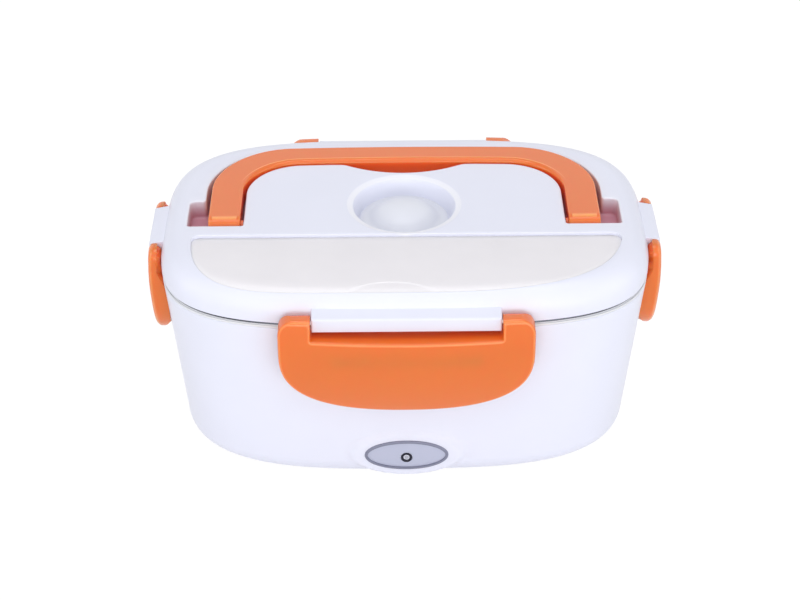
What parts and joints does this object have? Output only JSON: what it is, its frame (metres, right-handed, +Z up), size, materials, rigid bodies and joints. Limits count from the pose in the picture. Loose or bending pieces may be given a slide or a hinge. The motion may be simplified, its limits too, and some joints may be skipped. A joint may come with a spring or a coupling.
{
  "type": "electric lunch box",
  "caption": "Portable electric food warmer with a lift-off latched lid, folding handle, steel container and heated base.",
  "frame": {"origin": "centre of the footprint on the surface that the feet stand on", "axes": "+X along the width, -Y towards the badge and the lamp, +Z up"},
  "size_m": [0.2376, 0.168, 0.1084],
  "materials": {
    "white_plastic": "gloss white polypropylene",
    "liner_plastic": "satin white polypropylene",
    "base_plastic": "fine matt texture",
    "orange_plastic": "satin orange polypropylene",
    "cover_frosted": "frosted translucent plastic",
    "vent_silicone": "translucent silicone",
    "seal_silicone": "silicone",
    "foot_rubber": "matt rubber",
    "container_steel": "brushed stainless steel",
    "plate_aluminium": "turned aluminium",
    "heater_case": "extruded aluminium",
    "screw_steel": "zinc plated steel",
    "thermostat_body": "moulded phenolic",
    "fuse_body": "glazed ceramic",
    "board_green": "glass fibre board",
    "lamp_clear": "clear lens",
    "bezel_plastic": "dark moulded plastic",
    "badge_grey": "grey satin paint",
    "badge_face": "pale grey satin paint",
    "prong_brass": "nickel plated brass",
    "wire_brown": "insulated lead",
    "wire_blue": "insulated lead",
    "wire_red": "insulated lead"
  },
  "bodies": {
    "base": {"outer_shell": "white_plastic", "base_cover": "base_plastic", "base_screws": "screw_steel", "rubber_feet": "foot_rubber", "inner_liner": "liner_plastic", "heating_plate": "plate_aluminium", "heater_element": "heater_case", "heater_clamp": "screw_steel", "clamp_screws": "screw_steel", "thermostat": "thermostat_body", "thermal_fuse": "fuse_body", "lamp_board": "board_green", "board_screws": "screw_steel", "lamp_led": "lamp_clear", "lamp_lens": "lamp_clear", "lamp_bezel": "bezel_plastic", "badge_ring": "badge_grey", "badge_plate": "badge_face", "inlet_housing": "bezel_plastic", "inlet_pins": "prong_brass", "live_wire": "wire_brown", "neutral_wire": "wire_blue", "lamp_wire": "wire_red"},
    "food_container": {"food_container": "container_steel"},
    "lid": {"lid_shell": "white_plastic", "lid_liner": "liner_plastic", "lid_seal": "seal_silicone", "long_latch_pins": "screw_steel", "side_latch_pins": "screw_steel", "handle_pins": "screw_steel"},
    "handle": {"handle": "orange_plastic"},
    "vent_plug": {"vent_plug": "vent_silicone"},
    "cutlery_cover": {"cutlery_cover": "cover_frosted"},
    "front_latch": {"front_latch": "orange_plastic"},
    "rear_latch": {"rear_latch": "orange_plastic"},
    "left_latch": {"left_latch": "orange_plastic"},
    "right_latch": {"right_latch": "orange_plastic"}
  },
  "joints": [
    {"name": "container_lift", "type": "slide", "parent": "base", "child": "food_container", "axis": [0, 0, 1], "range_m": [0, 0.1]},
    {"name": "lid_lift", "type": "slide", "parent": "food_container", "child": "lid", "axis": [0, 0, 1], "range_m": [0, 0.07]},
    {"name": "front_latch_hinge", "type": "hinge", "parent": "lid", "child": "front_latch", "pos_m": [0, -0.0765, 0.0962], "axis": [-1, 0, 0], "range_deg": [0, 95]},
    {"name": "rear_latch_hinge", "type": "hinge", "parent": "lid", "child": "rear_latch", "pos_m": [0, 0.0765, 0.0962], "axis": [1, 0, 0], "range_deg": [0, 95]},
    {"name": "left_latch_hinge", "type": "hinge", "parent": "lid", "child": "left_latch", "pos_m": [-0.1143, 0, 0.0962], "axis": [0, 1, 0], "range_deg": [0, 95]},
    {"name": "right_latch_hinge", "type": "hinge", "parent": "lid", "child": "right_latch", "pos_m": [0.1143, 0, 0.0962], "axis": [0, -1, 0], "range_deg": [0, 95]},
    {"name": "handle_hinge", "type": "hinge", "parent": "lid", "child": "handle", "pos_m": [0, -0.0082, 0.1036], "axis": [1, 0, 0], "range_deg": [0, 90]},
    {"name": "vent_plug_lift", "type": "slide", "parent": "lid", "child": "vent_plug", "axis": [0, 0, 1], "range_m": [0, 0.03]},
    {"name": "cover_hinge", "type": "hinge", "parent": "lid", "child": "cutlery_cover", "pos_m": [0, -0.0227, 0.1046], "axis": [-1, 0, 0], "range_deg": [0, 90]}
  ]
}
